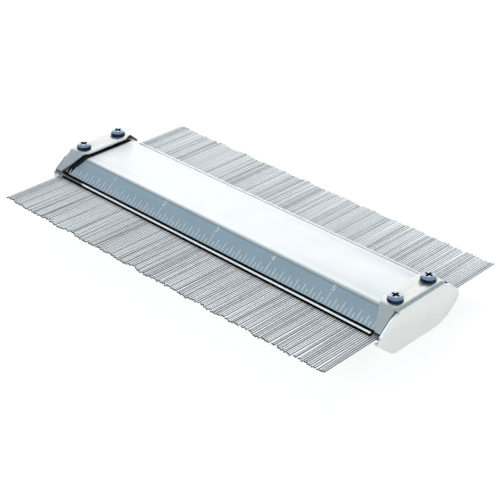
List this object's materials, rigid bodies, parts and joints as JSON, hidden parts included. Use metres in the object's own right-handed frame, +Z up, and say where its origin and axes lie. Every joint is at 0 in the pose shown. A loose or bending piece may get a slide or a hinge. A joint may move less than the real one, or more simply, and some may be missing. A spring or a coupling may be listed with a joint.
{
  "type": "contour gauge",
  "caption": "Six-inch pin contour gauge: a row of thin steel pins slides with friction through a bent sheet-metal body with an inch scale and screwed end caps.",
  "frame": {"origin": "under the middle of the row of pins, on the surface that the gauge lies on", "axes": "+X along the row towards the end with the higher figures, +Y along the pins away from the scale, +Z up through the scaled cover"},
  "size_m": [0.1524, 0.087, 0.0192],
  "materials": {
    "cover_sheet": "satin plated",
    "cap_sheet": "matte plated",
    "guide_sheet": "bright",
    "pad_rubber": "matte",
    "inner_steel": "mill",
    "screw_zinc": "blue zinc",
    "washer_steel": "zinc",
    "pin_wire": "drawn wire"
  },
  "bodies": {
    "body": {"upper_cover": "cover_sheet", "lower_cover": "cover_sheet", "left_end_cap": "cap_sheet", "right_end_cap": "cap_sheet", "upper_guide_plate": "guide_sheet", "lower_guide_plate": "guide_sheet", "upper_pad": "pad_rubber", "lower_pad": "pad_rubber", "left_spacer": "inner_steel", "right_spacer": "inner_steel", "upper_left_bar": "inner_steel", "upper_right_bar": "inner_steel", "lower_left_bar": "inner_steel", "lower_right_bar": "inner_steel", "upper_left_screws": "screw_zinc", "upper_right_screws": "screw_zinc", "lower_left_screws": "screw_zinc", "lower_right_screws": "screw_zinc", "upper_left_washers": "washer_steel", "upper_right_washers": "washer_steel", "lower_left_washers": "washer_steel", "lower_right_washers": "washer_steel"},
    "pin_group_01": {"pins_01": "pin_wire"},
    "pin_group_02": {"pins_02": "pin_wire"},
    "pin_group_03": {"pins_03": "pin_wire"},
    "pin_group_04": {"pins_04": "pin_wire"},
    "pin_group_05": {"pins_05": "pin_wire"},
    "pin_group_06": {"pins_06": "pin_wire"},
    "pin_group_07": {"pins_07": "pin_wire"},
    "pin_group_08": {"pins_08": "pin_wire"},
    "pin_group_09": {"pins_09": "pin_wire"},
    "pin_group_10": {"pins_10": "pin_wire"},
    "pin_group_11": {"pins_11": "pin_wire"},
    "pin_group_12": {"pins_12": "pin_wire"},
    "pin_group_13": {"pins_13": "pin_wire"},
    "pin_group_14": {"pins_14": "pin_wire"},
    "pin_group_15": {"pins_15": "pin_wire"},
    "pin_group_16": {"pins_16": "pin_wire"},
    "pin_group_17": {"pins_17": "pin_wire"},
    "pin_group_18": {"pins_18": "pin_wire"},
    "pin_group_19": {"pins_19": "pin_wire"},
    "pin_group_20": {"pins_20": "pin_wire"},
    "pin_group_21": {"pins_21": "pin_wire"},
    "pin_group_22": {"pins_22": "pin_wire"},
    "pin_group_23": {"pins_23": "pin_wire"},
    "pin_group_24": {"pins_24": "pin_wire"},
    "pin_group_25": {"pins_25": "pin_wire"},
    "pin_group_26": {"pins_26": "pin_wire"},
    "pin_group_27": {"pins_27": "pin_wire"},
    "pin_group_28": {"pins_28": "pin_wire"},
    "pin_group_29": {"pins_29": "pin_wire"},
    "pin_group_30": {"pins_30": "pin_wire"},
    "pin_group_31": {"pins_31": "pin_wire"},
    "pin_group_32": {"pins_32": "pin_wire"},
    "pin_group_33": {"pins_33": "pin_wire"},
    "pin_group_34": {"pins_34": "pin_wire"},
    "pin_group_35": {"pins_35": "pin_wire"},
    "pin_group_36": {"pins_36": "pin_wire"},
    "pin_group_37": {"pins_37": "pin_wire"}
  },
  "joints": [
    {"name": "pin_slide_01", "type": "slide", "parent": "body", "child": "pin_group_01", "axis": [0, 1, 0], "range_m": [-0.022, 0.022]},
    {"name": "pin_slide_02", "type": "slide", "parent": "body", "child": "pin_group_02", "axis": [0, 1, 0], "range_m": [-0.022, 0.022]},
    {"name": "pin_slide_03", "type": "slide", "parent": "body", "child": "pin_group_03", "axis": [0, 1, 0], "range_m": [-0.022, 0.022]},
    {"name": "pin_slide_04", "type": "slide", "parent": "body", "child": "pin_group_04", "axis": [0, 1, 0], "range_m": [-0.022, 0.022]},
    {"name": "pin_slide_05", "type": "slide", "parent": "body", "child": "pin_group_05", "axis": [0, 1, 0], "range_m": [-0.022, 0.022]},
    {"name": "pin_slide_06", "type": "slide", "parent": "body", "child": "pin_group_06", "axis": [0, 1, 0], "range_m": [-0.022, 0.022]},
    {"name": "pin_slide_07", "type": "slide", "parent": "body", "child": "pin_group_07", "axis": [0, 1, 0], "range_m": [-0.022, 0.022]},
    {"name": "pin_slide_08", "type": "slide", "parent": "body", "child": "pin_group_08", "axis": [0, 1, 0], "range_m": [-0.022, 0.022]},
    {"name": "pin_slide_09", "type": "slide", "parent": "body", "child": "pin_group_09", "axis": [0, 1, 0], "range_m": [-0.022, 0.022]},
    {"name": "pin_slide_10", "type": "slide", "parent": "body", "child": "pin_group_10", "axis": [0, 1, 0], "range_m": [-0.022, 0.022]},
    {"name": "pin_slide_11", "type": "slide", "parent": "body", "child": "pin_group_11", "axis": [0, 1, 0], "range_m": [-0.022, 0.022]},
    {"name": "pin_slide_12", "type": "slide", "parent": "body", "child": "pin_group_12", "axis": [0, 1, 0], "range_m": [-0.022, 0.022]},
    {"name": "pin_slide_13", "type": "slide", "parent": "body", "child": "pin_group_13", "axis": [0, 1, 0], "range_m": [-0.022, 0.022]},
    {"name": "pin_slide_14", "type": "slide", "parent": "body", "child": "pin_group_14", "axis": [0, 1, 0], "range_m": [-0.022, 0.022]},
    {"name": "pin_slide_15", "type": "slide", "parent": "body", "child": "pin_group_15", "axis": [0, 1, 0], "range_m": [-0.022, 0.022]},
    {"name": "pin_slide_16", "type": "slide", "parent": "body", "child": "pin_group_16", "axis": [0, 1, 0], "range_m": [-0.022, 0.022]},
    {"name": "pin_slide_17", "type": "slide", "parent": "body", "child": "pin_group_17", "axis": [0, 1, 0], "range_m": [-0.022, 0.022]},
    {"name": "pin_slide_18", "type": "slide", "parent": "body", "child": "pin_group_18", "axis": [0, 1, 0], "range_m": [-0.022, 0.022]},
    {"name": "pin_slide_19", "type": "slide", "parent": "body", "child": "pin_group_19", "axis": [0, 1, 0], "range_m": [-0.022, 0.022]},
    {"name": "pin_slide_20", "type": "slide", "parent": "body", "child": "pin_group_20", "axis": [0, 1, 0], "range_m": [-0.022, 0.022]},
    {"name": "pin_slide_21", "type": "slide", "parent": "body", "child": "pin_group_21", "axis": [0, 1, 0], "range_m": [-0.022, 0.022]},
    {"name": "pin_slide_22", "type": "slide", "parent": "body", "child": "pin_group_22", "axis": [0, 1, 0], "range_m": [-0.022, 0.022]},
    {"name": "pin_slide_23", "type": "slide", "parent": "body", "child": "pin_group_23", "axis": [0, 1, 0], "range_m": [-0.022, 0.022]},
    {"name": "pin_slide_24", "type": "slide", "parent": "body", "child": "pin_group_24", "axis": [0, 1, 0], "range_m": [-0.022, 0.022]},
    {"name": "pin_slide_25", "type": "slide", "parent": "body", "child": "pin_group_25", "axis": [0, 1, 0], "range_m": [-0.022, 0.022]},
    {"name": "pin_slide_26", "type": "slide", "parent": "body", "child": "pin_group_26", "axis": [0, 1, 0], "range_m": [-0.022, 0.022]},
    {"name": "pin_slide_27", "type": "slide", "parent": "body", "child": "pin_group_27", "axis": [0, 1, 0], "range_m": [-0.022, 0.022]},
    {"name": "pin_slide_28", "type": "slide", "parent": "body", "child": "pin_group_28", "axis": [0, 1, 0], "range_m": [-0.022, 0.022]},
    {"name": "pin_slide_29", "type": "slide", "parent": "body", "child": "pin_group_29", "axis": [0, 1, 0], "range_m": [-0.022, 0.022]},
    {"name": "pin_slide_30", "type": "slide", "parent": "body", "child": "pin_group_30", "axis": [0, 1, 0], "range_m": [-0.022, 0.022]},
    {"name": "pin_slide_31", "type": "slide", "parent": "body", "child": "pin_group_31", "axis": [0, 1, 0], "range_m": [-0.022, 0.022]},
    {"name": "pin_slide_32", "type": "slide", "parent": "body", "child": "pin_group_32", "axis": [0, 1, 0], "range_m": [-0.022, 0.022]},
    {"name": "pin_slide_33", "type": "slide", "parent": "body", "child": "pin_group_33", "axis": [0, 1, 0], "range_m": [-0.022, 0.022]},
    {"name": "pin_slide_34", "type": "slide", "parent": "body", "child": "pin_group_34", "axis": [0, 1, 0], "range_m": [-0.022, 0.022]},
    {"name": "pin_slide_35", "type": "slide", "parent": "body", "child": "pin_group_35", "axis": [0, 1, 0], "range_m": [-0.022, 0.022]},
    {"name": "pin_slide_36", "type": "slide", "parent": "body", "child": "pin_group_36", "axis": [0, 1, 0], "range_m": [-0.022, 0.022]},
    {"name": "pin_slide_37", "type": "slide", "parent": "body", "child": "pin_group_37", "axis": [0, 1, 0], "range_m": [-0.022, 0.022]}
  ]
}
